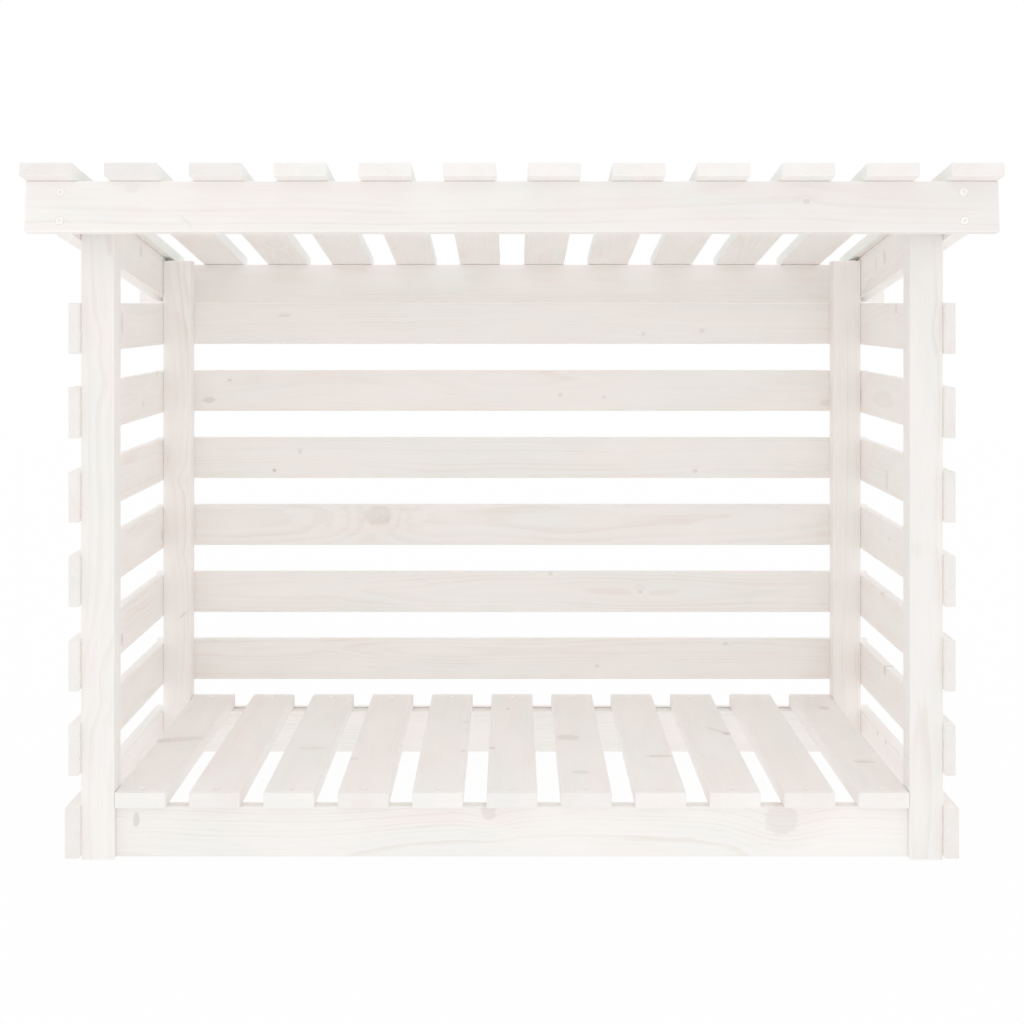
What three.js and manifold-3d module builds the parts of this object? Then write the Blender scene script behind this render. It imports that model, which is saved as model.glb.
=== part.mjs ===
// Slatted pine rack for kindling and split logs. Four square posts carry a slatted floor,
// slatted sides and a slatted back, and a slatted roof that falls towards the back.
// Millimetres. +X is to the right seen from the open front, +Y to the back, +Z up.
// The origin lies on the ground, under the middle of the whole rack.

import * as THREE from 'three';
import { mergeVertices } from 'three/addons/utils/BufferGeometryUtils.js';
import Module from 'manifold-3d';

const wasm = await Module();
wasm.setup();

// Posts
const POST_SIZE = 38;
const CARCASS_WIDTH = 985; // over the outer faces of the posts
const CARCASS_DEPTH = 559; // from the front posts' front face to the rear posts' back face
const POST_TOP_GAP = 2; // under the roof slats, at the back edge of each post's top

// Floor frame and lower boards
const LOWER_BOARD_WIDTH = 58;
const BOARD_GROUND_GAP = 4.2; // the lower side boards stay this far off the ground
const BEAM_GROUND_GAP = 1; // and the floor beams and the lower back board this far
const SIDE_BOARD_THICK = 16;
const FLOOR_BEAM_THICK = 18;
const FLOOR_SLATS = 11;
const FLOOR_SLAT_WIDTH = 58;
const FLOOR_SLAT_THICK = 18;
const FLOOR_SIDE_GAP = 0.3; // between the outer floor slats and the posts

// Side and back walls
const WALL_SLATS = 6;
const WALL_SLAT_WIDTH = 58;
const WALL_SLAT_THICK = 12;
const WALL_TOP_GAP = 2.9; // between the top slat and the rafters, where they are lowest
const WALL_BOTTOM_GAP = 36.4; // between the lowest slat and the lower side boards
const SIDE_PROUD = 10; // the side slats and boards stand this far in front of the posts

// Roof
const ROOF_SLOPE = THREE.MathUtils.degToRad(6.8);
const ROOF_SIDE_OVERHANG = 30; // of the outer slats past the rafters
const ROOF_HEIGHT = 775.4; // underside of the slats at their front ends
const ROOF_REACH_FRONT = 88; // level distance from the front posts to the slats' front ends
const ROOF_REACH_BACK = 83;
const ROOF_SLATS = 12;
const ROOF_SLAT_WIDTH = 58;
const ROOF_SLAT_THICK = 15;
const ROOF_BEAM_WIDTH = 57;
const ROOF_BEAM_THICK = 18;
const RAFTER_WIDTH = 57;
const RAFTER_THICK = 18;
const FRONT_OVERHANG = 28.5; // of the slats past the front beam, along the slope
const REAR_OVERHANG = 20.5;

// Edges, fits and fixings
const BOARD_EDGE_RADIUS = 1;
const POST_EDGE_RADIUS = 1.2;
const END_CHAMFER = 0.5;
const FIT_GAP = 0.2; // clearance between pieces that seat on each other in the roof
const SCREW_CLEARANCE = 0.3; // between a screw and its hole
const ARC_STEPS = 1; // each rounded edge has two facets
const PAIR_SPACING = 32; // between two screws set one above the other in a board's end
const BEAM_SCREW = { headRadius: 4.6, shankRadius: 2.4, length: 52, sunk: 0.3, sides: 16 };
const SLAT_SCREW = { headRadius: 3.8, shankRadius: 1.8, seatDepth: 5, sunk: 0.3, sides: 10 };
const SCREW_TIP = 6;
const CROSS_LENGTH = 5.2;
const CROSS_WIDTH = 1.1;
const CROSS_DEPTH = 1.8;
const CUTTER_RISE = 2; // how far a cutter stands out of the face that it cuts

// Directions
const RIGHT = new THREE.Vector3(1, 0, 0);
const LEFT = new THREE.Vector3(-1, 0, 0);
const BACK = new THREE.Vector3(0, 1, 0);
const FRONT = new THREE.Vector3(0, -1, 0);
const UP = new THREE.Vector3(0, 0, 1);
const DOWN = new THREE.Vector3(0, 0, -1);

// The way each kind of piece is turned: along its length, across its width, out of its outer face
const LYING = [BACK, LEFT, UP];
const FACING_FRONT = [RIGHT, UP, FRONT];
const FACING_BACK = [RIGHT, DOWN, BACK];
const FACING_LEFT = [BACK, DOWN, LEFT];
const FACING_RIGHT = [BACK, UP, RIGHT];
const STANDING = [UP, LEFT, FRONT];

// Places worked out from the sizes
const postFrontY = -(ROOF_REACH_FRONT + CARCASS_DEPTH + ROOF_REACH_BACK) / 2 + ROOF_REACH_FRONT;
const postBackY = postFrontY + CARCASS_DEPTH;
const postLineX = CARCASS_WIDTH / 2 - POST_SIZE / 2;
const postLinesY = [postFrontY + POST_SIZE / 2, postBackY - POST_SIZE / 2];
const lowerBoardZ = BOARD_GROUND_GAP + LOWER_BOARD_WIDTH / 2;
const lowerBoardTop = BOARD_GROUND_GAP + LOWER_BOARD_WIDTH;
const floorBeamZ = BEAM_GROUND_GAP + LOWER_BOARD_WIDTH / 2;
const floorBeamTop = BEAM_GROUND_GAP + LOWER_BOARD_WIDTH;
const roofFrontY = postFrontY - ROOF_REACH_FRONT;
const roofBackY = postBackY + ROOF_REACH_BACK;
const roofCos = Math.cos(ROOF_SLOPE);
const roofSin = Math.sin(ROOF_SLOPE);
const roofSlatLength = (roofBackY - roofFrontY - ROOF_SLAT_THICK * roofSin) / roofCos;
const backLength = CARCASS_WIDTH + 2 * SIDE_BOARD_THICK;
const roofWidth = CARCASS_WIDTH + 2 * (FIT_GAP + RAFTER_THICK + ROOF_SIDE_OVERHANG);
const rafterLineX = CARCASS_WIDTH / 2 + FIT_GAP + RAFTER_THICK / 2;
const rafterBottom = -FIT_GAP - RAFTER_WIDTH;

// Height of the slats' underside above the ground, at a place in the depth
function roofUndersideAt(y) {
  return ROOF_HEIGHT - (y - roofFrontY) * Math.tan(ROOF_SLOPE);
}

// Distance down the slope at which a line square to the roof, drop below it, crosses y
function downSlope(y, drop) {
  return (y - roofFrontY + drop * roofSin) / roofCos;
}

const rafterLowPoint = roofUndersideAt(postBackY + WALL_SLAT_THICK) + rafterBottom / roofCos;
const lowestSlatZ = lowerBoardTop + WALL_BOTTOM_GAP + WALL_SLAT_WIDTH / 2;
const highestSlatZ = rafterLowPoint - WALL_TOP_GAP - WALL_SLAT_WIDTH / 2;
const wallPitch = (highestSlatZ - lowestSlatZ) / (WALL_SLATS - 1);

// Finishes: a thin white stain on pine, and plated steel
function whiteStain() {
  return new THREE.MeshStandardMaterial({ color: 0xf2ece6, roughness: 0.72, metalness: 0 });
}

function platedSteel() {
  return new THREE.MeshStandardMaterial({ color: 0xd9d7d2, roughness: 0.35, metalness: 0.85 });
}

// A closed geometry as a solid that can be cut
function solidOf(geometry) {
  const bare = geometry.clone();
  bare.deleteAttribute('normal');
  bare.deleteAttribute('uv');
  const merged = mergeVertices(bare, 1e-4);
  const vertProperties = new Float32Array(merged.attributes.position.array);
  const triVerts = new Uint32Array(merged.index.array);
  return new wasm.Manifold(new wasm.Mesh({ numProp: 3, vertProperties, triVerts }));
}

function geometryOf(solid) {
  const mesh = solid.getMesh();
  const geometry = new THREE.BufferGeometry();
  geometry.setAttribute('position', new THREE.BufferAttribute(mesh.vertProperties, 3));
  geometry.setIndex(new THREE.BufferAttribute(mesh.triVerts, 1));
  geometry.computeVertexNormals();
  return geometry;
}

// Cross section of a planed board, with its four long edges eased
function easedSection(width, thick, radius) {
  const x = width / 2 - radius;
  const y = thick / 2 - radius;
  const quarter = Math.PI / 2;
  const section = new THREE.Shape();
  section.absarc(x, y, radius, 0, quarter);
  section.absarc(-x, y, radius, quarter, 2 * quarter);
  section.absarc(-x, -y, radius, 2 * quarter, 3 * quarter);
  section.absarc(x, -y, radius, 3 * quarter, 4 * quarter);
  return section;
}

// A board centred on its own origin, with its length along X, width along Y and thickness along Z
function boardGeometry(length, width, thick, radius = BOARD_EDGE_RADIUS) {
  const geometry = new THREE.ExtrudeGeometry(easedSection(width, thick, radius), {
    depth: length - 2 * END_CHAMFER,
    curveSegments: ARC_STEPS,
    bevelEnabled: true,
    bevelSegments: 1,
    bevelThickness: END_CHAMFER,
    bevelSize: END_CHAMFER,
    bevelOffset: -END_CHAMFER,
  });
  geometry.translate(0, 0, END_CHAMFER - length / 2);
  geometry.applyMatrix4(new THREE.Matrix4().makeBasis(BACK, UP, RIGHT));
  return geometry;
}

// Cutter for a countersunk screw: a shank hole of the given depth under a conical seat.
// It points down from a face at z = 0.
function seatCutter(screw, depth) {
  const shank = screw.shankRadius + SCREW_CLEARANCE;
  const head = screw.headRadius + SCREW_CLEARANCE;
  const profile = [
    new THREE.Vector2(0, -depth),
    new THREE.Vector2(shank, -depth),
    new THREE.Vector2(shank, -screw.sunk - (head - shank)),
    new THREE.Vector2(head + screw.sunk + CUTTER_RISE, CUTTER_RISE),
    new THREE.Vector2(0, CUTTER_RISE),
  ];
  const cutter = new THREE.LatheGeometry(profile, screw.sides);
  cutter.rotateX(Math.PI / 2);
  return cutter;
}

// Takes a list of cutters away from a geometry
function cutAway(geometry, cutters) {
  let solid = solidOf(geometry);
  for (const cutter of cutters) {
    solid = solid.subtract(solidOf(cutter));
  }
  return geometryOf(solid);
}

// A board with screw seats in its outer face, each at [along its length, across its width]
function screwedBoard(length, width, thick, screw, depth, seats) {
  const cutters = seats.map(([x, y]) => seatCutter(screw, depth).translate(x, y, thick / 2));
  return cutAway(boardGeometry(length, width, thick), cutters);
}

function addPiece(parent, name, geometry, place, turn, material) {
  const mesh = new THREE.Mesh(geometry, material);
  mesh.name = name;
  mesh.position.set(...place);
  mesh.quaternion.setFromRotationMatrix(new THREE.Matrix4().makeBasis(...turn));
  parent.add(mesh);
}

function twoDigits(number) {
  return String(number).padStart(2, '0');
}

// Four posts, cut level just under the roof slats
function addPosts(parent) {
  const corners = [
    ['front_left_post', -postLineX, postLinesY[0]],
    ['front_right_post', postLineX, postLinesY[0]],
    ['rear_left_post', -postLineX, postLinesY[1]],
    ['rear_right_post', postLineX, postLinesY[1]],
  ];
  for (const [name, x, y] of corners) {
    const height = roofUndersideAt(y + POST_SIZE / 2) - POST_TOP_GAP;
    const post = boardGeometry(height, POST_SIZE, POST_SIZE, POST_EDGE_RADIUS);
    addPiece(parent, name, post, [x, y, height / 2], STANDING, whiteStain());
  }
}

// Two beams between the posts, and the slats of the floor lying on them
function addFloor(parent) {
  const clearWidth = CARCASS_WIDTH - 2 * POST_SIZE;
  const beam = boardGeometry(clearWidth, LOWER_BOARD_WIDTH, FLOOR_BEAM_THICK);
  addPiece(parent, 'front_floor_beam', beam, [0, postLinesY[0], floorBeamZ], FACING_FRONT, whiteStain());
  addPiece(parent, 'rear_floor_beam', beam, [0, postLinesY[1], floorBeamZ], FACING_BACK, whiteStain());

  const middleY = (postFrontY + postBackY) / 2;
  const seats = postLinesY.map((y) => [y - middleY, 0]);
  const slat = screwedBoard(
    CARCASS_DEPTH, FLOOR_SLAT_WIDTH, FLOOR_SLAT_THICK, SLAT_SCREW, SLAT_SCREW.seatDepth, seats,
  );
  const firstX = -clearWidth / 2 + FLOOR_SIDE_GAP + FLOOR_SLAT_WIDTH / 2;
  const pitch = (-2 * firstX) / (FLOOR_SLATS - 1);
  const z = floorBeamTop + FLOOR_SLAT_THICK / 2;
  for (let i = 0; i < FLOOR_SLATS; i += 1) {
    const name = `floor_slat_${twoDigits(i + 1)}`;
    addPiece(parent, name, slat, [firstX + i * pitch, middleY, z], LYING, whiteStain());
  }
}

// Slats and a thicker lower board outside the posts, on one side of the rack
function addSide(parent, side, sign, turn) {
  const frontY = postFrontY - SIDE_PROUD;
  const length = postBackY - frontY;
  const middleY = (frontY + postBackY) / 2;
  const outerFace = CARCASS_WIDTH / 2;

  const boardSeats = postLinesY.flatMap((y) => [
    [y - middleY, -PAIR_SPACING / 2],
    [y - middleY, PAIR_SPACING / 2],
  ]);
  const board = screwedBoard(
    length, LOWER_BOARD_WIDTH, SIDE_BOARD_THICK, SLAT_SCREW, SLAT_SCREW.seatDepth, boardSeats,
  );
  const boardX = sign * (outerFace + SIDE_BOARD_THICK / 2);
  addPiece(parent, `${side}_lower_board`, board, [boardX, middleY, lowerBoardZ], turn, whiteStain());

  const slatSeats = postLinesY.map((y) => [y - middleY, 0]);
  const slat = screwedBoard(
    length, WALL_SLAT_WIDTH, WALL_SLAT_THICK, SLAT_SCREW, SLAT_SCREW.seatDepth, slatSeats,
  );
  const slatX = sign * (outerFace + WALL_SLAT_THICK / 2);
  for (let i = 1; i <= WALL_SLATS; i += 1) {
    const z = lowestSlatZ + (i - 1) * wallPitch;
    addPiece(parent, `${side}_slat_${i}`, slat, [slatX, middleY, z], turn, whiteStain());
  }
}

// Slats across the back, on the rear posts and over the ends of the side slats
function addBack(parent) {
  const y = postBackY + WALL_SLAT_THICK / 2;
  const boardSeats = [-postLineX, postLineX].flatMap((x) => [
    [x, -PAIR_SPACING / 2],
    [x, PAIR_SPACING / 2],
  ]);
  const board = screwedBoard(
    backLength, LOWER_BOARD_WIDTH, WALL_SLAT_THICK, SLAT_SCREW, SLAT_SCREW.seatDepth, boardSeats,
  );
  addPiece(parent, 'back_lower_board', board, [0, y, floorBeamZ], FACING_BACK, whiteStain());

  const slatSeats = [[-postLineX, 0], [postLineX, 0]];
  const slat = screwedBoard(
    backLength, WALL_SLAT_WIDTH, WALL_SLAT_THICK, SLAT_SCREW, SLAT_SCREW.seatDepth, slatSeats,
  );
  for (let i = 1; i <= WALL_SLATS; i += 1) {
    const z = lowestSlatZ + (i - 1) * wallPitch;
    addPiece(parent, `back_slat_${i}`, slat, [0, y, z], FACING_BACK, whiteStain());
  }
}

// Countersunk screw with its head at y = 0, its tip towards +Y and a cross in its head
function screwGeometry(screw) {
  const profile = [
    new THREE.Vector2(0, -screw.length),
    new THREE.Vector2(screw.shankRadius, -screw.length + SCREW_TIP),
    new THREE.Vector2(screw.shankRadius, -(screw.headRadius - screw.shankRadius)),
    new THREE.Vector2(screw.headRadius, 0),
    new THREE.Vector2(0, 0),
  ];
  const body = new THREE.LatheGeometry(profile, screw.sides);
  const crossArms = [0, Math.PI / 2].map((angle) => {
    const arm = new THREE.BoxGeometry(CROSS_LENGTH, 2 * CROSS_DEPTH, CROSS_WIDTH);
    return arm.rotateY(angle);
  });
  return cutAway(body, crossArms).rotateX(Math.PI);
}

// The roof is one flat frame, built square and then tipped back by the slope.
// Its own origin is at the underside of the slats, in the middle of their front ends.
function addRoof(parent) {
  const roof = new THREE.Group();
  roof.position.set(0, roofFrontY, ROOF_HEIGHT);
  roof.rotation.x = -ROOF_SLOPE;
  parent.add(roof);

  const frontBeamY = FRONT_OVERHANG + ROOF_BEAM_THICK / 2;
  const rearBeamY = roofSlatLength - REAR_OVERHANG - ROOF_BEAM_THICK / 2;
  const beamZ = -FIT_GAP - ROOF_BEAM_WIDTH / 2;
  const holes = [-rafterLineX, rafterLineX].flatMap((x) => [
    [x, -PAIR_SPACING / 2],
    [x, PAIR_SPACING / 2],
  ]);
  const throughBeam = ROOF_BEAM_THICK + CUTTER_RISE;
  const beam = screwedBoard(
    roofWidth, ROOF_BEAM_WIDTH, ROOF_BEAM_THICK, BEAM_SCREW, throughBeam, holes,
  );
  addPiece(roof, 'front_roof_beam', beam, [0, frontBeamY, beamZ], FACING_FRONT, whiteStain());
  addPiece(roof, 'rear_roof_beam', beam, [0, rearBeamY, beamZ], FACING_BACK, whiteStain());

  addRafters(roof, frontBeamY + ROOF_BEAM_THICK / 2, rearBeamY - ROOF_BEAM_THICK / 2, beamZ);

  const screw = screwGeometry(BEAM_SCREW);
  const headY = FRONT_OVERHANG + BEAM_SCREW.sunk;
  for (const [side, x] of [['left', -rafterLineX], ['right', rafterLineX]]) {
    for (const [level, rise] of [['lower', -PAIR_SPACING / 2], ['upper', PAIR_SPACING / 2]]) {
      const name = `${side}_${level}_beam_screw`;
      addPiece(roof, name, screw, [x, headY, beamZ + rise], [RIGHT, BACK, UP], platedSteel());
    }
  }

  const slatSeats = [frontBeamY, rearBeamY].map((y) => [y - roofSlatLength / 2, 0]);
  const slat = screwedBoard(
    roofSlatLength, ROOF_SLAT_WIDTH, ROOF_SLAT_THICK, SLAT_SCREW, SLAT_SCREW.seatDepth, slatSeats,
  );
  const firstX = -(roofWidth - ROOF_SLAT_WIDTH) / 2;
  const pitch = (-2 * firstX) / (ROOF_SLATS - 1);
  for (let i = 0; i < ROOF_SLATS; i += 1) {
    const place = [firstX + i * pitch, roofSlatLength / 2, ROOF_SLAT_THICK / 2];
    addPiece(roof, `roof_slat_${twoDigits(i + 1)}`, slat, place, LYING, whiteStain());
  }
}

// Rafters on edge outside the posts, from beam to beam. Pilot bores in their ends take the
// beam screws, and two screws a post go through their outer faces.
function addRafters(roof, frontEndY, rearEndY, centreZ) {
  const length = rearEndY - frontEndY - 2 * FIT_GAP;
  const middleY = (frontEndY + rearEndY) / 2;
  const boreRadius = BEAM_SCREW.shankRadius + SCREW_CLEARANCE;
  const boreDepth = BEAM_SCREW.sunk + BEAM_SCREW.length + SCREW_CLEARANCE - ROOF_BEAM_THICK;

  for (const [side, sign, turn] of [['left', -1, FACING_LEFT], ['right', 1, FACING_RIGHT]]) {
    const cutters = [];
    for (const rise of [-PAIR_SPACING / 2, PAIR_SPACING / 2]) {
      for (const end of [-length / 2, length / 2]) {
        const bore = new THREE.CylinderGeometry(boreRadius, boreRadius, 2 * boreDepth, BEAM_SCREW.sides);
        cutters.push(bore.rotateZ(Math.PI / 2).translate(end, rise, 0));
      }
      for (const y of postLinesY) {
        const seat = seatCutter(SLAT_SCREW, SLAT_SCREW.seatDepth);
        cutters.push(seat.translate(downSlope(y, -centreZ) - middleY, rise, RAFTER_THICK / 2));
      }
    }
    const rafter = cutAway(boardGeometry(length, RAFTER_WIDTH, RAFTER_THICK), cutters);
    addPiece(roof, `${side}_rafter`, rafter, [sign * rafterLineX, middleY, centreZ], turn, whiteStain());
  }
}

const rack = new THREE.Group();
addPosts(rack);
addFloor(rack);
addSide(rack, 'left', -1, FACING_LEFT);
addSide(rack, 'right', 1, FACING_RIGHT);
addBack(rack);
addRoof(rack);

export default rack;
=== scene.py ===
"""Open kindling box of whitewashed pine boards on four posts, with a slatted sloping roof.

Metres, in the part's own frame: +X right, +Y to the back, +Z up, the open front towards -Y.
"""
import math
import random
from collections import namedtuple

import bmesh
import bpy
from mathutils import Matrix, Vector


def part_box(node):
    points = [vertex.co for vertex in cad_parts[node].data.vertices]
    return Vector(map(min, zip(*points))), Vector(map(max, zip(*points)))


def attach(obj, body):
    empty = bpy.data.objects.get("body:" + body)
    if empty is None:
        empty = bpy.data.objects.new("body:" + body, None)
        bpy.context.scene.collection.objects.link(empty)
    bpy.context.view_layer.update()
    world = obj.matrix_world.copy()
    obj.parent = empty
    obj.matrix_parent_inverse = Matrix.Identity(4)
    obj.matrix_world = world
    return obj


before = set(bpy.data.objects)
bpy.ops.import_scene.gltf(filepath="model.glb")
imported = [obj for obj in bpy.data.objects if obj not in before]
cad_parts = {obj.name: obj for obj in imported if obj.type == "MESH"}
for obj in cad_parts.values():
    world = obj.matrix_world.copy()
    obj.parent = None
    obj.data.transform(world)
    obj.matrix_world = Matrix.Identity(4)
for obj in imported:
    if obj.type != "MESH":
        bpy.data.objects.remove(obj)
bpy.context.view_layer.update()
RIGHT, BACK, UP = Vector((1, 0, 0)), Vector((0, 1, 0)), Vector((0, 0, 1))
LEFT, FRONT = -RIGHT, -BACK


# ---- Posts -------------------------------------------------------------------------------
# Four posts of planed pine, 38 mm square, standing on the ground. Like every board of the box
# they are brushed with one thin coat of white stain, which lets grain and knots show through.
MM = 0.001
WASH = (0.953, 0.924, 0.901)  # the stain where it covers well
ROSE_WASH = (0.943, 0.885, 0.860)  # the stain over red heartwood
GREY_WASH = (0.908, 0.905, 0.874)  # the stain where it lies thin and dries grey
LATEWOOD = (0.735, 0.640, 0.540)  # the hard dark lines between the years
KNOT_WOOD = (0.522, 0.470, 0.425)
BARK = (0.270, 0.215, 0.175)  # the dark rim that a knot leaves
SIDE_SHADE = (0.950, 0.986, 0.984)  # painted shade, a little cool: how far it dims each colour on the sawn sides
KNOT_SHOW = 0.36  # how much of a knot's own wood shows through the stain
BARK_SHOW = 0.12
KNOT_SWELL = 0.6  # how far a knot pushes the years aside, as a share of its smaller reach
BEND_FADE = -0.14  # how fast the years straighten away from a knot
PINE_GLOSS = 0.35
PINE_BUMP = 0.5

# Lengths within the wood, in millimetres
YEAR_WIDTH = 3.1
PITH_SIDEWAYS = 34  # the most that the pith lies beside a board's middle
PITH_DEPTHS = (14, 26, 48, 80)  # where it may lie below the face
PAINTED_EDGE_SPAN = (1.9, 0.5)  # where the painted highlight and shade of a rounded edge begin and where they are full
SAWN_SKIN = (1.2, 0.4)  # the same for a sawn side or end, by its depth below the face
SHIFT_RANGE = 9000  # how far apart the boards are cut from one pattern of wood
THROUGH = 10000.0  # the reach of a knot that runs through the board

# A knot, from the board's middle: where it lies, how far it reaches each way, how dark it is, how
# far it is turned in degrees, and where in the thickness it lies if it doesn't run through it all
Knot = namedtuple("Knot", "along across reach_along reach_across strength turn out reach_out",
                  defaults=(1.0, 0.0, 0.0, THROUGH))


def feed(tree, socket, source):
    """Sets a socket to a value, or links an output to it."""
    if isinstance(source, bpy.types.NodeSocket):
        tree.links.new(source, socket)
    elif source is not None:
        socket.default_value = source


def calc(tree, operation, *sources, clamp=False):
    """One Math node, and its output."""
    node = tree.nodes.new("ShaderNodeMath")
    node.operation = operation
    node.use_clamp = clamp
    for socket, source in zip(node.inputs, sources):
        feed(tree, socket, source)
    return node.outputs[0]


def vector_calc(tree, operation, *sources):
    """One Vector Math node, and the output that holds its result."""
    node = tree.nodes.new("ShaderNodeVectorMath")
    node.operation = operation
    for socket, source in zip(node.inputs, sources):
        feed(tree, socket, source)
    return node.outputs["Value" if operation == "LENGTH" else "Vector"]


def ramp(tree, value, low, high, to_low=0.0, to_high=1.0):
    """A soft step of a value from one limit to another."""
    node = tree.nodes.new("ShaderNodeMapRange")
    node.interpolation_type = "SMOOTHSTEP"
    for socket, source in zip(node.inputs, (value, low, high, to_low, to_high)):
        feed(tree, socket, source)
    return node.outputs["Result"]


def noise(tree, place, stretch, detail=2.0, rough=0.5):
    """Noise at a place in millimetres, with its size along, across and through the board."""
    shrunk = vector_calc(tree, "DIVIDE", place, stretch)
    node = tree.nodes.new("ShaderNodeTexNoise")
    feed(tree, node.inputs["Vector"], shrunk)
    node.inputs["Scale"].default_value = 1.0
    node.inputs["Detail"].default_value = detail
    node.inputs["Roughness"].default_value = rough
    return node.outputs["Fac"]


def blend_colour(tree, amount, first, second):
    """A colour between two colours."""
    node = tree.nodes.new("ShaderNodeMix")
    node.data_type = "RGBA"
    feed(tree, node.inputs["Factor"], amount)
    for name, source in (("A", first), ("B", second)):
        socket = next(s for s in node.inputs if s.name == name and s.type == "RGBA")
        feed(tree, socket, (*source, 1.0) if isinstance(source, tuple) else source)
    return next(s for s in node.outputs if s.type == "RGBA")


def new_group(name, inputs, outputs):
    """An empty node group with the given sockets, and its input and output nodes."""
    tree = bpy.data.node_groups.new(name, "ShaderNodeTree")
    kinds = {"v": "NodeSocketVector", "f": "NodeSocketFloat", "c": "NodeSocketColor"}
    for direction, sockets in (("INPUT", inputs), ("OUTPUT", outputs)):
        for socket_name, kind in sockets.items():
            tree.interface.new_socket(socket_name, in_out=direction, socket_type=kinds[kind])
    return tree, tree.nodes.new("NodeGroupInput").outputs, tree.nodes.new("NodeGroupOutput").inputs


def add_bump(tree, shader, height, strength, distance):
    """Lets a height roughen the surface of a shader."""
    bump = tree.nodes.new("ShaderNodeBump")
    bump.inputs["Strength"].default_value = strength
    bump.inputs["Distance"].default_value = distance
    feed(tree, bump.inputs["Height"], height)
    feed(tree, shader.inputs["Normal"], bump.outputs["Normal"])


def axis_x(tree, vector):
    """The part of a vector that runs along the board."""
    node = tree.nodes.new("ShaderNodeSeparateXYZ")
    feed(tree, node.inputs[0], vector)
    return node.outputs["X"]


def make_knot_group():
    """A knot that runs through a board: how it bends the grain, and where its own wood shows."""
    inputs = {"Place": "v", "Ragged": "f", "Centre": "v", "Reach": "v", "Turn": "f"}
    tree, given, result = new_group("pine knot", inputs, {"Bend": "f", "Core": "f", "Rim": "f"})
    rotate = tree.nodes.new("ShaderNodeVectorRotate")
    rotate.rotation_type = "Z_AXIS"
    apart = vector_calc(tree, "SUBTRACT", given["Place"], given["Centre"])
    feed(tree, rotate.inputs["Vector"], apart)
    feed(tree, rotate.inputs["Angle"], given["Turn"])
    span = vector_calc(tree, "DIVIDE", rotate.outputs["Vector"], given["Reach"])
    span = calc(tree, "ADD", vector_calc(tree, "LENGTH", span), given["Ragged"])
    fall = calc(tree, "MULTIPLY", calc(tree, "MULTIPLY", span, span), BEND_FADE)
    feed(tree, result["Bend"], calc(tree, "EXPONENT", fall))
    feed(tree, result["Core"], ramp(tree, span, 1.2, 0.55))
    feed(tree, result["Rim"], calc(
        tree, "MULTIPLY", ramp(tree, span, 1.2, 0.95), ramp(tree, span, 0.6, 0.9)))
    return tree


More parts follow.
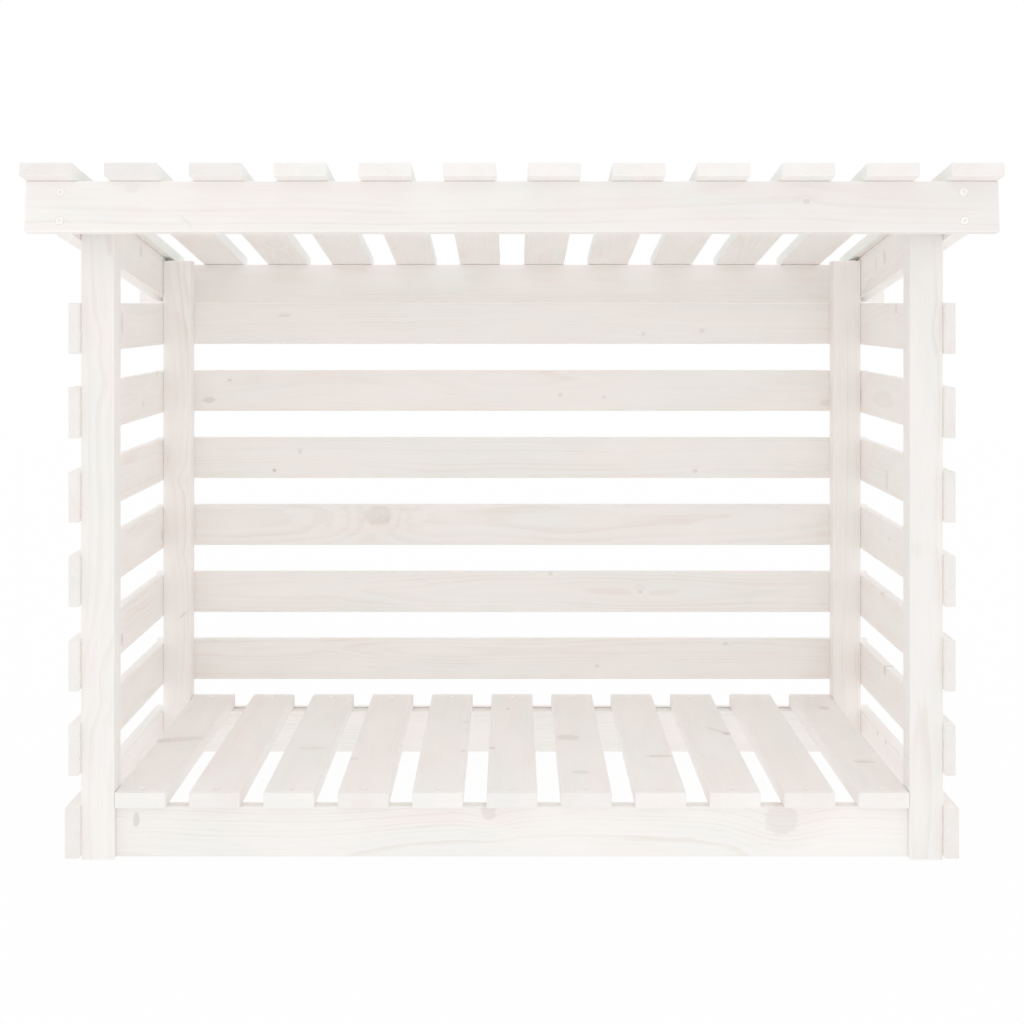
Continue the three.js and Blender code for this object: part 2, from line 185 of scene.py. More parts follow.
def make_pine_group():
    """White-stained pine, in millimetres: X along the board, Y across it, Z out of its face."""
    inputs = {"Place": "v", "Half Size": "v", "Shift": "v", "Pith": "v", "Rose": "f", "Grain": "f",
              "Tone": "f", "Drift": "f", "Edge Light And Shade": "f", "End Tone": "f", "Side Shade": "f",
              "Bend": "f", "Core": "f", "Rim": "f"}
    outputs = {"Color": "c", "Rough": "f", "Height": "f"}
    tree, given, result = new_group("stained pine", inputs, outputs)
    place, core, rim = given["Place"], given["Core"], given["Rim"]
    sample = vector_calc(tree, "ADD", place, given["Shift"])

    # The years are rings round a pith line that wanders along the board, and they bend round
    # knots. Dry years leave a strong dark line, wet ones hardly any
    slow = (420, 900, 900)
    away = vector_calc(tree, "ADD", sample, (0.0, 0.0, 5000.0))
    wander = tree.nodes.new("ShaderNodeCombineXYZ")
    feed(tree, wander.inputs["Y"], calc(
        tree, "MULTIPLY_ADD", noise(tree, sample, slow, 1.0), 22.0, -11.0))
    feed(tree, wander.inputs["Z"], calc(
        tree, "MULTIPLY_ADD", noise(tree, away, slow, 1.0), 26.0, -13.0))
    from_pith = vector_calc(tree, "SUBTRACT", place, given["Pith"])
    from_pith = vector_calc(tree, "ADD", from_pith, wander.outputs[0])
    across = vector_calc(tree, "MULTIPLY", from_pith, (0.0, 1.0, 1.0))
    radius = vector_calc(tree, "LENGTH", across)
    radius = calc(tree, "ADD", radius, calc(
        tree, "MULTIPLY", noise(tree, sample, (120, 9, 9), 2.0), 3.0))
    radius = calc(tree, "ADD", radius, given["Bend"])
    year = calc(tree, "FRACT", calc(tree, "DIVIDE", radius, YEAR_WIDTH))
    late = calc(tree, "MULTIPLY", ramp(tree, year, 0.25, 0.88), ramp(tree, year, 1.0, 0.9))
    by_radius = tree.nodes.new("ShaderNodeCombineXYZ")
    feed(tree, by_radius.inputs["X"], radius)
    by_radius = vector_calc(tree, "ADD", by_radius.outputs[0], given["Shift"])
    weather = noise(tree, by_radius, (4.5, 1, 1), 1.0)
    late = calc(tree, "MULTIPLY", late, ramp(tree, weather, 0.36, 0.66, 0.2, 1.9))

    # Fibres, the stain's brush marks and its uneven cover
    fibre = noise(tree, sample, (55, 0.9, 0.9), 3.0, 0.6)
    brush = noise(tree, sample, (190, 3.2, 3.2), 3.0, 0.55)
    cover = noise(tree, sample, (150, 38, 38), 2.0)
    hue = noise(tree, vector_calc(tree, "ADD", sample, (900.0, 0.0, 0.0)), (210, 45, 45), 2.0)
    tinted = blend_colour(tree, ramp(tree, calc(tree, "ADD", hue, given["Rose"]), 0.38, 0.62),
                          GREY_WASH, ROSE_WASH)
    washed = blend_colour(tree, ramp(tree, cover, 0.35, 0.68, 0.1, 0.85), tinted, WASH)
    washed = blend_colour(tree, ramp(tree, brush, 0.42, 0.7, 0.0, 0.3), washed, WASH)
    streak = noise(tree, sample, (34, 1.1, 1.1), 1.0)
    show = calc(tree, "MULTIPLY", late, ramp(tree, cover, 0.3, 0.7, 0.13, 0.04))
    show = calc(tree, "ADD", show, ramp(tree, fibre, 0.5, 0.8, 0.0, 0.08))
    show = calc(tree, "ADD", show, ramp(tree, streak, 0.62, 0.78, 0.0, 0.12))
    show = calc(tree, "MULTIPLY", show, given["Grain"])
    bare = calc(tree, "MULTIPLY_ADD", core, -0.9, 1.0, clamp=True)
    show = calc(tree, "MULTIPLY", show, bare)
    show = calc(tree, "ADD", show, ramp(tree, given["Bend"], 0.5, 9.0, 0.0, 0.04))

    # The eased edges get a painted highlight, washed lighter with less grain, then painted light
    # or shade by their tone. The sawn sides may get painted shade, and the open end grain takes
    # the stain in its own way
    depth = vector_calc(tree, "SUBTRACT", given["Half Size"], vector_calc(tree, "ABSOLUTE", place))
    separate = tree.nodes.new("ShaderNodeSeparateXYZ")
    feed(tree, separate.inputs[0], depth)
    x, y, z = separate.outputs
    low = calc(tree, "MINIMUM", calc(tree, "MINIMUM", x, y), z)
    high = calc(tree, "MAXIMUM", calc(tree, "MAXIMUM", x, y), z)
    total = calc(tree, "ADD", calc(tree, "ADD", x, y), z)
    middle = calc(tree, "SUBTRACT", calc(tree, "SUBTRACT", total, low), high)
    painted_edge = ramp(tree, middle, *PAINTED_EDGE_SPAN)
    end_grain = ramp(tree, x, *SAWN_SKIN)
    # Painted shade on the sawn sides, as much as the board asks for
    side = calc(tree, "MULTIPLY", ramp(tree, y, *SAWN_SKIN), given["Side Shade"])
    # Painted highlight: the eased edges show less grain and are washed lighter
    show = calc(tree, "MULTIPLY", show, calc(tree, "MULTIPLY_ADD", painted_edge, -0.8, 1.0), clamp=True)
    washed = blend_colour(tree, calc(tree, "MULTIPLY", painted_edge, 0.6), washed, WASH)

    reaches = (axis_x(tree, given[name]) for name in ("Place", "Half Size"))
    part_way = calc(tree, "DIVIDE", *reaches)
    tone = calc(tree, "MULTIPLY_ADD", part_way, given["Drift"], given["Tone"])
    # Painted light or shade on the eased edges by their tone, and the end grain's own tone
    for mask, name in ((painted_edge, "Edge Light And Shade"), (end_grain, "End Tone")):
        tone = calc(tree, "MULTIPLY", tone, ramp(tree, mask, 0.0, 1.0, 1.0, given[name]))

    colour = blend_colour(tree, show, washed, LATEWOOD)
    colour = blend_colour(tree, calc(tree, "MULTIPLY", core, KNOT_SHOW), colour, KNOT_WOOD)
    colour = blend_colour(tree, calc(tree, "MULTIPLY", rim, BARK_SHOW), colour, BARK)
    colour = vector_calc(tree, "MULTIPLY", colour, tone)
    # The colour under painted shade on the sawn sides
    shaded = vector_calc(tree, "MULTIPLY", colour, SIDE_SHADE)
    feed(tree, result["Color"], blend_colour(tree, side, colour, shaded))
    rough = calc(tree, "MULTIPLY_ADD", fibre, 0.16, 0.56)
    feed(tree, result["Rough"], calc(tree, "MULTIPLY_ADD", core, -0.08, rough))

    # Hard latewood stands proud of soft earlywood, and knots stand proud of both
    height = calc(tree, "MULTIPLY_ADD", late, 0.05, calc(tree, "MULTIPLY", fibre, 0.12))
    height = calc(tree, "MULTIPLY", height, given["Grain"])
    feed(tree, result["Height"], calc(tree, "MULTIPLY_ADD", core, 0.08, height))
    return tree


KNOT_GROUP = make_knot_group()
PINE_GROUP = make_pine_group()


def directions(along, out):
    """The turn of a board whose length runs along one direction and whose face looks out."""
    return Matrix((along, out.cross(along), out)).transposed()


def measure(node, turn):
    """The middle of a board, and half its length, width and thickness, in metres."""
    points = [turn.transposed() @ vertex.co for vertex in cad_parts[node].data.vertices]
    low = Vector([min(axis) for axis in zip(*points)])
    high = Vector([max(axis) for axis in zip(*points)])
    return turn @ ((low + high) / 2), (high - low) / 2


def face_knots(draw, half, count, side):
    """Knots that show only on one face of a board: 1 is the face that looks out, -1 the other."""
    knots = []
    for _ in range(count):
        size = draw.uniform(3.0, 7.5)
        along = draw.uniform(-0.92, 0.92) * half.x / MM
        across = draw.uniform(-0.75, 0.75) * half.y / MM
        longer, strength = size * draw.uniform(1.0, 1.6), draw.uniform(0.6, 1.3)
        knots.append(Knot(along, across, longer, size, strength, out=side * half.z / MM,
                          reach_out=half.z / MM))
    return knots


# By default the eased edges get a little painted shade
def stained_pine(node, along, out, knots=(), more_knots=0, rose=0.0, grain=1.0, tone=1.0,
                 drift=0.0, edge_light_and_shade=0.975, end_tone=None, side_shade=0.0):
    """Gives a board its own pine, whose grain runs along it. Seen knots are listed, and more are
    drawn for the face that the open front hides. Rose is how red the wood is, grain how strong
    its lines are, and the tones how light the stain dries, with 1 the usual. The tone of the eased
    edges is painted highlight above 1 and painted shade below it, and the sides' share is how much
    painted shade dims the sawn sides. Drift is how much lighter the board gets towards its far
    end."""
    turn = directions(along, out)
    centre, half = measure(node, turn)
    draw = random.Random(node)

    material = bpy.data.materials.new(f"{node} pine")
    material.use_nodes = True
    tree = material.node_tree
    shader = tree.nodes["Principled BSDF"]
    shader.inputs["Specular IOR Level"].default_value = PINE_GLOSS

    texture = tree.nodes.new("ShaderNodeTexCoord")
    mapping = tree.nodes.new("ShaderNodeMapping")
    mapping.vector_type = "TEXTURE"
    mapping.inputs["Location"].default_value = centre
    mapping.inputs["Rotation"].default_value = turn.to_euler()
    mapping.inputs["Scale"].default_value = (MM, MM, MM)
    feed(tree, mapping.inputs["Vector"], texture.outputs["Object"])
    place = mapping.outputs["Vector"]

    pine = tree.nodes.new("ShaderNodeGroup")
    pine.node_tree = PINE_GROUP
    feed(tree, pine.inputs["Place"], place)
    settings = {
        "Half Size": half / MM,
        "Shift": [draw.uniform(-SHIFT_RANGE, SHIFT_RANGE) for _ in range(3)],
        "Pith": (0, draw.uniform(-PITH_SIDEWAYS, PITH_SIDEWAYS), -draw.choice(PITH_DEPTHS)),
        "Rose": rose + draw.uniform(-0.06, 0.06),
        "Grain": grain,
        "Tone": tone,
        "Drift": drift,
        "Edge Light And Shade": edge_light_and_shade,
        "End Tone": end_tone or draw.uniform(0.955, 1.01),
        "Side Shade": side_shade,
    }
    for name, setting in settings.items():
        pine.inputs[name].default_value = setting

    bend = core = rim = 0.0
    faces_away = out in (LEFT, RIGHT) or out.z > 0.5
    hidden_side = 1 if faces_away else -1
    all_knots = [*knots, *face_knots(draw, half, more_knots, hidden_side)]
    if all_knots:
        ragged = calc(tree, "MULTIPLY_ADD", noise(tree, place, (7.0, 5.0, 9.0), 3.0), 0.7, -0.35)
    for given in all_knots:
        knot = tree.nodes.new("ShaderNodeGroup")
        knot.node_tree = KNOT_GROUP
        feed(tree, knot.inputs["Place"], place)
        feed(tree, knot.inputs["Ragged"], ragged)
        knot.inputs["Centre"].default_value = (given.along, given.across, given.out)
        knot.inputs["Reach"].default_value = (
            given.reach_along, given.reach_across, given.reach_out)
        knot.inputs["Turn"].default_value = -math.radians(given.turn)
        swell = KNOT_SWELL * min(given.reach_along, given.reach_across)
        bend = calc(tree, "MULTIPLY_ADD", knot.outputs["Bend"], swell, bend)
        core = calc(tree, "MULTIPLY_ADD", knot.outputs["Core"], given.strength, core)
        rim = calc(tree, "MULTIPLY_ADD", knot.outputs["Rim"], given.strength, rim)
    for name, source in (("Bend", bend), ("Core", core), ("Rim", rim)):
        feed(tree, pine.inputs[name], source)

    feed(tree, shader.inputs["Base Color"], pine.outputs["Color"])
    feed(tree, shader.inputs["Roughness"], pine.outputs["Rough"])
    add_bump(tree, shader, pine.outputs["Height"], PINE_BUMP, MM)
    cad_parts[node].material_slots[0].material = material


POST_EDGE_HIGHLIGHT = 1.02  # painted highlight on the posts' rounder edges
REAR_LEFT_POST_KNOT = Knot(-152, -9, 6.5, 1.2, 1.0, -48)
POST_TONES = {"front_left": 0.991, "front_right": 0.973, "rear_left": 1.021, "rear_right": 1.018}

for corner, tone in POST_TONES.items():
    knots = [REAR_LEFT_POST_KNOT] if corner == "rear_left" else []
    stained_pine(f"{corner}_post", UP, FRONT, knots, more_knots=3, grain=1.4, tone=tone,
                 edge_light_and_shade=POST_EDGE_HIGHLIGHT)


# ---- Floor -------------------------------------------------------------------------------
# Two boards on edge between the posts carry eleven slats from front to back. Each slat has one
# countersunk screw into each board, and spike knots, cut lengthwise, cross some of them.
HEAD_RADIUS = 3.9 * MM
SHANK_RADIUS = 1.8 * MM
STUB_LENGTH = 4.6 * MM  # what the seat in the board holds of the screw, below its head
SCREW_SIDES = 24
SMOOTH_ANGLE = math.radians(35)
TIP_SHARE = 0.1  # how blunt a long screw's tip is
RIM_HEIGHT = 0.4 * MM  # the head's upright rim stands out of its seat and catches the light
RIM_BEVEL = 0.12 * MM
CROSS_LENGTH = 4.0 * MM
CROSS_WIDTH = 0.8 * MM
CROSS_DEPTH = 0.5 * MM
CROSS_TAPER = 0.55
ZINC = (0.985, 0.958, 0.928)
BRIGHT_ZINC = (0.997, 0.975, 0.948)
ZINC_METALLIC = 0.85  # the rest is the veil of stain
ZINC_BUMP = 0.3
SCRATCH_DEPTH = 0.1 * MM
FLOOR_SLATS = 11
FLOOR_BEAM_KNOTS = (
    Knot(-27, 23, 8, 9, 0.65, 20),
    Knot(309, 14, 18, 17, 0.55),
    Knot(-431, 13, 3.5, 8, 1.0),
)
FLOOR_KNOTS = {
    1: [Knot(-9, 3, 12, 29, 0.6, 20), Knot(-16, 22, 12, 11, 0.3, 20)],
    3: [Knot(-57, -5, 8, 18, 0.35, 4)],
    4: [Knot(-114, 23, 6, 5, 0.6)],
    5: [Knot(95, -24, 6, 3, 0.5), Knot(-73, -24, 7, 3, 0.5)],
    6: [Knot(178, 5, 7, 3, 0.8), Knot(-57, 25, 6, 4, 0.9)],
    7: [Knot(3, 13, 14, 13, 0.7, 15), Knot(-182, 3, 7, 11, 0.6, -10)],
    8: [Knot(-100, -12, 6, 16, 0.8, 6)],
    9: [Knot(25, -25, 9, 7, 1.0), Knot(44, -13, 23, 3.5, 0.7, 34)],
    11: [Knot(185, -6, 11, 7, 0.8), Knot(-130, -4, 7, 12, 0.8, -8)],
}
FLOOR_ROSE = {1: 0.05, 2: 0.03, 3: -0.1, 4: 0.08, 7: -0.03, 8: 0.05, 10: 0.06}


def pick_faces(piece, wanted):
    """In edit mode, selects only the faces whose middle and normal pass a test."""
    mesh = bmesh.from_edit_mesh(piece.data)
    for face in mesh.faces:
        face.select_set(wanted(face.calc_center_median(), face.normal))
    mesh.select_flush_mode()
    bmesh.update_edit_mesh(piece.data)


def cut_cross(screw, quarter_turns):
    """Cuts one tapered arm of the cross into a screw's head."""
    bpy.ops.object.select_all(action="DESELECT")
    bpy.ops.mesh.primitive_cube_add(size=1.0)
    arm = bpy.context.object
    arm.scale = (CROSS_LENGTH, CROSS_WIDTH, 2 * CROSS_DEPTH)
    arm.rotation_euler.z = quarter_turns * math.pi / 2
    bpy.ops.object.transform_apply(location=True, rotation=True, scale=True)
    bpy.ops.object.mode_set(mode="EDIT")
    pick_faces(arm, lambda middle, normal: normal.z < -0.9)
    bpy.ops.transform.resize(value=(CROSS_TAPER, CROSS_TAPER, 1.0), center_override=(0, 0, 0))
    bpy.ops.object.mode_set(mode="OBJECT")
    bpy.context.view_layer.objects.active = screw
    cut = screw.modifiers.new("cross", "BOOLEAN")
    cut.object = arm
    bpy.ops.object.modifier_apply(modifier=cut.name)
    bpy.data.objects.remove(arm)


def model_screw(head_radius, shank_radius, length, tip=0.0):
    """A countersunk wood screw that looks up: its head's cone ends at the origin's level, with
    an upright rim above it and the shank below."""
    seat = head_radius - shank_radius
    bpy.ops.object.select_all(action="DESELECT")
    bpy.ops.mesh.primitive_cone_add(vertices=SCREW_SIDES, radius1=shank_radius, depth=seat,
                                    radius2=head_radius, location=(0, 0, -seat / 2))
    screw = bpy.context.object
    bpy.ops.object.transform_apply(location=True, rotation=True, scale=True)
    bpy.ops.object.mode_set(mode="EDIT")
    pick_faces(screw, lambda middle, normal: normal.z < -0.9)
    drop = {"value": (0, 0, seat + tip - length)}
    bpy.ops.mesh.extrude_region_move(TRANSFORM_OT_translate=drop)
    if tip:
        bpy.ops.mesh.extrude_region_move(TRANSFORM_OT_translate={"value": (0, 0, -tip)})
        bpy.ops.transform.resize(value=(TIP_SHARE, TIP_SHARE, 1.0), center_override=(0, 0, 0))
    pick_faces(screw, lambda middle, normal: normal.z > 0.9)
    bpy.ops.mesh.extrude_region_move(TRANSFORM_OT_translate={"value": (0, 0, RIM_HEIGHT)})
    bpy.ops.mesh.region_to_loop()
    bpy.ops.mesh.bevel(offset=RIM_BEVEL, segments=2, affect="EDGES")
    bpy.ops.object.mode_set(mode="OBJECT")
    cut_cross(screw, 0)
    cut_cross(screw, 1)
    bpy.ops.object.select_all(action="DESELECT")
    screw.select_set(True)
    bpy.context.view_layer.objects.active = screw
    bpy.ops.object.shade_smooth_by_angle(angle=SMOOTH_ANGLE)
    return screw


def make_plated_steel():
    """Bright zinc, cloudy from the bath, finely scratched and veiled by the stain's first coat."""
    material = bpy.data.materials.new("bright zinc plate")
    material.use_nodes = True
    tree = material.node_tree
    shader = tree.nodes["Principled BSDF"]
    shader.inputs["Metallic"].default_value = ZINC_METALLIC
    texture = tree.nodes.new("ShaderNodeTexCoord")
    place = vector_calc(tree, "DIVIDE", texture.outputs["Object"], (MM, MM, MM))
    cloud = noise(tree, place, (2.2, 2.2, 2.2), 3.0)
    scratch = noise(tree, place, (5.0, 5.0, 0.3), 2.0)
    feed(tree, shader.inputs["Base Color"],
         blend_colour(tree, ramp(tree, cloud, 0.3, 0.6), ZINC, BRIGHT_ZINC))
    feed(tree, shader.inputs["Roughness"], calc(tree, "MULTIPLY_ADD", scratch, 0.2, 0.2))
    add_bump(tree, shader, scratch, ZINC_BUMP, SCRATCH_DEPTH)
    return material


PLATED_STEEL = make_plated_steel()
SMALL_SCREW = model_screw(HEAD_RADIUS, SHANK_RADIUS, STUB_LENGTH)


def drive_screws(name, screw, spots, out):
    """Sets a copy of a screw in each seat, turned as it came to rest, and joins the copies into
    one piece."""
    turn = out.to_track_quat("Z", "Y").to_matrix().to_4x4()
    draw = random.Random(name)
    bpy.ops.object.select_all(action="DESELECT")
    for spot in spots:
        copy = screw.copy()
        copy.data = screw.data.copy()
        place = Matrix.Translation(spot)
        copy.data.transform(place @ turn @ Matrix.Rotation(draw.uniform(0, math.tau), 4, "Z"))
        bpy.context.collection.objects.link(copy)
        copy.select_set(True)
        bpy.context.view_layer.objects.active = copy
    bpy.ops.object.join()
    row = bpy.context.object
    row.name = name
    row.data.materials.append(PLATED_STEEL)
    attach(row, "root")


def on_face(node, along, out, target, rises=(0.0,)):
    """Spots on a board's face beside a target point, at heights above and below its middle."""
    turn = directions(along, out)
    centre, half = measure(node, turn)
    reach = (target - centre).dot(along)
    return [centre + turn @ Vector((reach, rise, half.z)) for rise in rises]


def along_slope(node, along, target_y):
    """The point on a sloping board's middle line at a place in the depth."""
    centre = measure(node, directions(along, RIGHT))[0]
    return centre + along * (target_y - centre.y) / along.y


stained_pine("front_floor_beam", RIGHT, FRONT, FLOOR_BEAM_KNOTS, rose=-0.10, grain=1.3,
             tone=0.996, drift=0.022)
stained_pine("rear_floor_beam", RIGHT, FRONT, more_knots=2, tone=1.01)
for number in range(1, FLOOR_SLATS + 1):
    stained_pine(f"floor_slat_{number:02d}", BACK, UP, FLOOR_KNOTS.get(number, ()), grain=0.45,
                 rose=FLOOR_ROSE.get(number, 0.0))

front_posts = measure("front_left_post", directions(UP, FRONT))[0]
rear_posts = measure("rear_left_post", directions(UP, FRONT))[0]
for row, post in (("front", front_posts), ("rear", rear_posts)):
    spots = []
    for number in range(1, FLOOR_SLATS + 1):
        spots += on_face(f"floor_slat_{number:02d}", BACK, UP, post)
    drive_screws(f"floor_screws_{row}", SMALL_SCREW, spots, UP)


# ---- Sides -------------------------------------------------------------------------------
# Six thin slats a side, and a thicker lower board, all screwed to the outsides of the posts. The
# lower boards have two screws to a post.
WALL_SLATS = 6
WALL_TONE = 1.013
PAIR_RISES = (-16 * MM, 16 * MM)
SIDE_END_TONES = {"left": 0.955, "right": 0.93}  # how dark the side slats' sawn ends come out
LOWER_END_TONE = 0.93
SIDE_KNOTS = {
    "left_slat_6": [Knot(-41, -3, 6, 14, 0.8)],
    "left_slat_5": [Knot(201, -25, 5, 3, 0.7), Knot(99, 9.5, 6, 4, 0.7)],
    "left_slat_3": [Knot(238, 9, 8, 8, 0.9)],
    "left_slat_2": [Knot(-41, 12, 7, 8, 1.0)],
    "right_slat_6": [Knot(-3, 22, 6, 7, 0.7)],
    "right_slat_5": [Knot(246, -6, 10, 9, 0.7)],
    "right_slat_4": [Knot(254, 4, 8, 7, 1.2), Knot(58, -12, 7, 13, 0.8)],
    "right_slat_3": [Knot(39, 9, 12, 2.5, 0.5)],
    "right_slat_2": [Knot(87, 26, 14, 3, 0.6)],
    "right_slat_1": [Knot(72, 24, 8, 6, 1.1)],
    "right_lower_board": [Knot(120, 24, 5, 3), Knot(66, 24, 5, 3)],
}

for side, out in (("left", LEFT), ("right", RIGHT)):
    spots = []
    for number in range(WALL_SLATS + 1):
        piece = f"{side}_slat_{number}" if number else f"{side}_lower_board"
        stained_pine(piece, BACK, out, SIDE_KNOTS.get(piece, ()), more_knots=2,
                     tone=WALL_TONE, end_tone=SIDE_END_TONES[side] if number else LOWER_END_TONE)
        for post in (front_posts, rear_posts):
            spots += on_face(piece, BACK, out, post, (0.0,) if number else PAIR_RISES)
    drive_screws(f"{side}_wall_screws", SMALL_SCREW, spots, out)


# ---- Back --------------------------------------------------------------------------------
# Six slats and a lower board run across the backs of the rear posts and cover the side slats'
# ends. Their inner faces are what the open front shows.
BACK_ROSE = {6: 0.03, 4: -0.06, 3: -0.08, 2: -0.04}  # a redder board, and three greener ones
BACK_KNOTS = {
    6: [Knot(272, -10, 3.5, 3, 0.6), Knot(188, -15, 3, 2.5, 0.6), Knot(-325, 12, 8, 2, 0.6)],
    5: [Knot(69, -6, 3.5, 3, 0.6), Knot(132, -9, 3, 2.5, 0.6), Knot(-433, -13.5, 8, 4, 0.9),
        Knot(-404, 15, 3, 2.5, 0.9), Knot(449, -17.5, 7, 5, 0.5)],
    4: [Knot(-340, -18, 2.8, 2.4, 1.6), Knot(-303, 9, 3, 4, 0.6), Knot(262, -19, 3.5, 2.5, 0.7)],
    3: [Knot(-192, 14, 19, 13, 0.45), Knot(-184, 9, 9, 6, 0.25), Knot(-150, 22, 20, 2, 0.35)],
    2: [Knot(55, 26, 3.5, 2.5, 0.7), Knot(183.5, 0, 3, 2.5, 0.7)],
    1: [Knot(305, 22, 3.5, 2.5, 0.7), Knot(122, -10, 3, 2.5, 0.7)],
}

rear_right = measure("rear_right_post", directions(UP, FRONT))[0]
spots = []
for number in range(WALL_SLATS + 1):
    piece = f"back_slat_{number}" if number else "back_lower_board"
    stained_pine(piece, RIGHT, FRONT, BACK_KNOTS.get(number, ()), more_knots=2,
                 rose=BACK_ROSE.get(number, 0.0), tone=WALL_TONE)
    for post in (rear_posts, rear_right):
        spots += on_face(piece, RIGHT, BACK, post, (0.0,) if number else PAIR_RISES)
drive_screws("back_screws", SMALL_SCREW, spots, BACK)


# ---- Roof frame --------------------------------------------------------------------------
# Two boards on edge outside the posts slope to the back. A long board closes them at each end,
# and two screws through it go into the end of each rafter.
ROOF_SLOPE = math.radians(6.8)
LONG_SCREW_HEAD = 4.6 * MM
LONG_SCREW_SHANK = 2.4 * MM
LONG_SCREW = 52 * MM
LONG_SCREW_TIP = 6 * MM
JOINT_EDGE_LIGHT = 1.05  # painted light on the eased edges where boards meet, lifting the shade of the joint
RAFTER_KNOTS = {
    "left": [Knot(82, -13, 9, 8, 0.7)],
    "right": [Knot(72, 3, 9, 8, 0.8), Knot(133, 2, 8, 9, 0.4)],
}
FRONT_BEAM_KNOTS = (
    Knot(327, 5.5, 4, 3, 0.8),
    Knot(-422, 21, 8, 6, 0.22),
    Knot(-361, -17, 9, 1.5, 0.4, -45),
)

tilt = Matrix.Rotation(-ROOF_SLOPE, 3, "X")
down_slope, off_roof, down_front = tilt @ BACK, tilt @ UP, tilt @ FRONT
stained_pine("front_roof_beam", RIGHT, down_front, FRONT_BEAM_KNOTS, tone=0.978, drift=-0.035,
             edge_light_and_shade=JOINT_EDGE_LIGHT)
stained_pine("rear_roof_beam", RIGHT, down_front, more_knots=3, rose=0.04, tone=1.028,
             edge_light_and_shade=JOINT_EDGE_LIGHT)
long_screw = model_screw(LONG_SCREW_HEAD, LONG_SCREW_SHANK, LONG_SCREW, LONG_SCREW_TIP)
rear_beam_spots = []
for side, out in (("left", LEFT), ("right", RIGHT)):
    rafter = f"{side}_rafter"
    stained_pine(rafter, down_slope, out, RAFTER_KNOTS[side], more_knots=2,
                 edge_light_and_shade=JOINT_EDGE_LIGHT)
    spots = []
    for post in (front_posts, rear_posts):
        target = along_slope(rafter, down_slope, post.y)
        spots += on_face(rafter, down_slope, out, target, PAIR_RISES)
    drive_screws(f"{side}_rafter_screws", SMALL_SCREW, spots, out)
    rafter_middle = measure(rafter, directions(down_slope, out))[0]
    rear_beam_spots += on_face("rear_roof_beam", RIGHT, down_slope, rafter_middle, PAIR_RISES)
    for level in ("upper", "lower"):
        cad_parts[f"{side}_{level}_beam_screw"].material_slots[0].material = PLATED_STEEL
drive_screws("rear_beam_screws", long_screw, rear_beam_spots, down_slope)
bpy.data.objects.remove(long_screw)


# ---- Roof slats --------------------------------------------------------------------------
# Twelve slats lie on the two long boards and run past them at the front and at the back, with
# one screw into each board.
ROOF_SLATS = 12
ROOF_END_TONES = {1: 0.965, 2: 0.93, 3: 0.955, 10: 1.0, 11: 1.0, 12: 0.99}  # the darker ends
LIGHT_END_TONE = 1.015
ROOF_EDGE_TONE = 1.0

for row in ("front", "rear"):
    beam = measure(f"{row}_roof_beam", directions(RIGHT, down_front))[0]
    spots = []
    for number in range(1, ROOF_SLATS + 1):
        spots += on_face(f"roof_slat_{number:02d}", down_slope, off_roof, beam)
    drive_screws(f"roof_screws_{row}", SMALL_SCREW, spots, off_roof)
bpy.data.objects.remove(SMALL_SCREW)
# The roof slats' sawn sides get painted shade
for number in range(1, ROOF_SLATS + 1):
    stained_pine(f"roof_slat_{number:02d}", down_slope, off_roof, more_knots=2, grain=0.8,
                 edge_light_and_shade=ROOF_EDGE_TONE, end_tone=ROOF_END_TONES.get(number, LIGHT_END_TONE),
                 side_shade=1.0)


# ---- Ground ------------------------------------------------------------------------------
# A plain white studio floor, lit from below as well, so only a breath of shadow is left on it.
FLOOR_HALF = 7.0
FLOOR_WHITE = (0.90, 0.90, 0.90, 1.0)
FLOOR_ROUGHNESS = 0.9
FLOOR_GLOW_SHARE = 0.95

bpy.ops.object.select_all(action="DESELECT")
bpy.ops.mesh.primitive_plane_add(size=2 * FLOOR_HALF, location=(0.0, 0.0, 0.0))
ground = bpy.context.object
ground.name = "studio_floor"
floor_paint = bpy.data.materials.new("white studio floor")
floor_paint.use_nodes = True
tree = floor_paint.node_tree
paint = tree.nodes["Principled BSDF"]
paint.inputs["Base Color"].default_value = FLOOR_WHITE
paint.inputs["Roughness"].default_value = FLOOR_ROUGHNESS
paint.inputs["Specular IOR Level"].default_value = 0.0
glow = tree.nodes.new("ShaderNodeEmission")
mix = tree.nodes.new("ShaderNodeMixShader")
feed(tree, mix.inputs[0], FLOOR_GLOW_SHARE)
feed(tree, mix.inputs[1], paint.outputs[0])
feed(tree, mix.inputs[2], glow.outputs[0])
feed(tree, tree.nodes["Material Output"].inputs["Surface"], mix.outputs[0])
ground.data.materials.append(floor_paint)


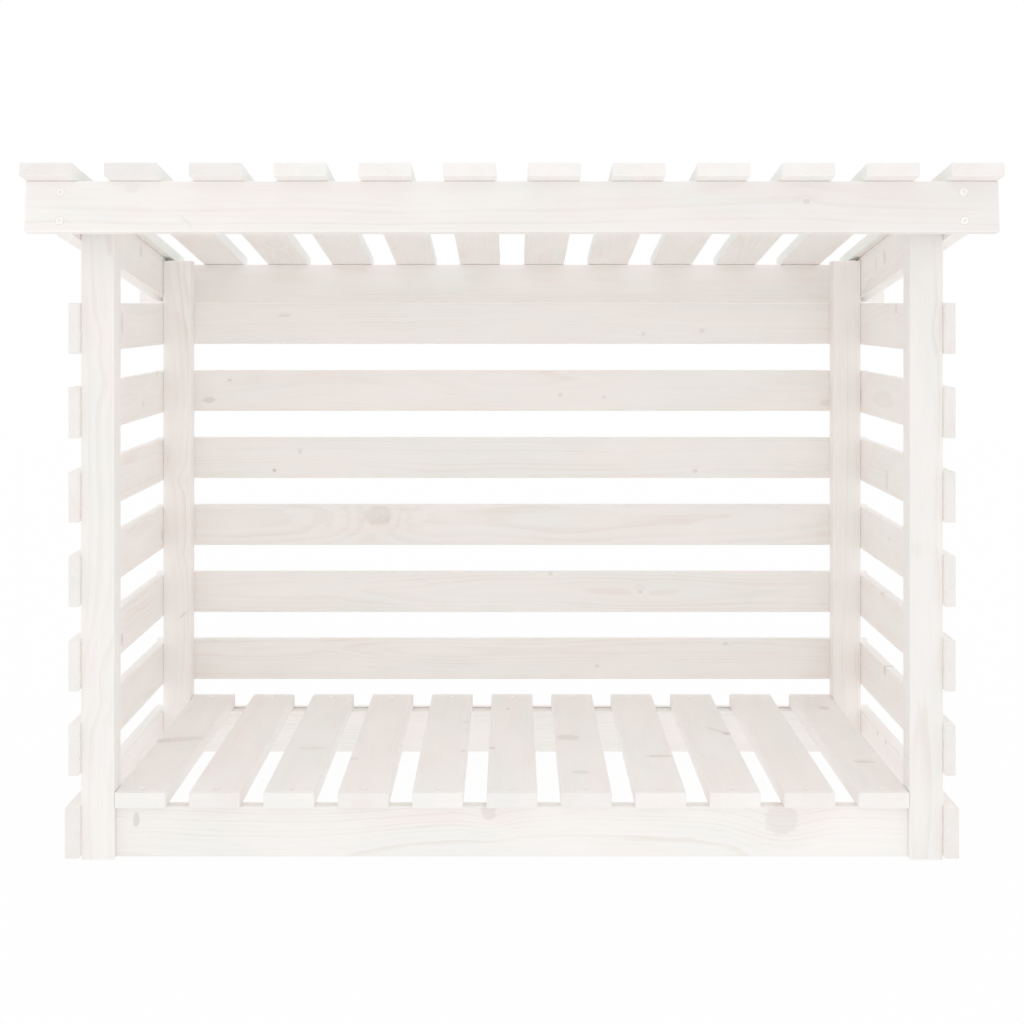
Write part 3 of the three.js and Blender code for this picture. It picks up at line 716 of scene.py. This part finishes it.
# ---- Light -------------------------------------------------------------------------------
# A white tent lights the box from all round, and a large weak lamp fills its open front.
TENT_STRENGTH = 1.0
TENT_WHITE = (1.0, 1.0, 1.0, 1.0)
KEY_WATTS = 1.0
KEY_SIZE = 4.0
KEY_PLACE = Vector((0.0, -4.2, 0.8))
KEY_TARGET = Vector((0.0, 0.0, 0.35))

world = bpy.data.worlds.new("white tent")
bpy.context.scene.world = world
world.use_nodes = True
tree = world.node_tree
tree.nodes.clear()
tent = tree.nodes.new("ShaderNodeBackground")
tent.inputs["Strength"].default_value = TENT_STRENGTH
backdrop = tree.nodes.new("ShaderNodeBackground")
path = tree.nodes.new("ShaderNodeLightPath")
seen = calc(tree, "MAXIMUM", path.outputs["Is Camera Ray"], path.outputs["Is Glossy Ray"])
seen = calc(tree, "MAXIMUM", seen, path.outputs["Is Transmission Ray"])
mix = tree.nodes.new("ShaderNodeMixShader")
feed(tree, mix.inputs[0], seen)
feed(tree, mix.inputs[1], tent.outputs[0])
feed(tree, mix.inputs[2], backdrop.outputs[0])
output = tree.nodes.new("ShaderNodeOutputWorld")
feed(tree, output.inputs["Surface"], mix.outputs[0])
for background in (tent, backdrop):
    background.inputs["Color"].default_value = TENT_WHITE

bpy.ops.object.light_add(type="AREA", location=KEY_PLACE)
key = bpy.context.object
key.name = "front lamp"
key.data.size = KEY_SIZE
key.data.energy = KEY_WATTS
key.rotation_euler = (KEY_TARGET - KEY_PLACE).to_track_quat("-Z", "Y").to_euler()


# ---- Camera ------------------------------------------------------------------------------
# Level, straight in front of the box, with the lens shifted down to frame it.
PHOTO_PIXELS = 1024
SENSOR = 36.0
FOCAL_PIXELS = 1934.0
HORIZON_ROW = 305.0
EYE_HEIGHT = 0.634
EYE_TO_POSTS = 2.209

post_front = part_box("front_left_post")[0].y
bpy.ops.object.camera_add(location=(0.0, post_front - EYE_TO_POSTS, EYE_HEIGHT),
                          rotation=(math.radians(90), 0.0, 0.0))
camera = bpy.context.object
camera.data.sensor_width = SENSOR
camera.data.lens = FOCAL_PIXELS * SENSOR / PHOTO_PIXELS
camera.data.shift_y = (HORIZON_ROW - PHOTO_PIXELS / 2) / PHOTO_PIXELS
bpy.context.scene.camera = camera
bpy.context.scene.view_settings.view_transform = "Standard"
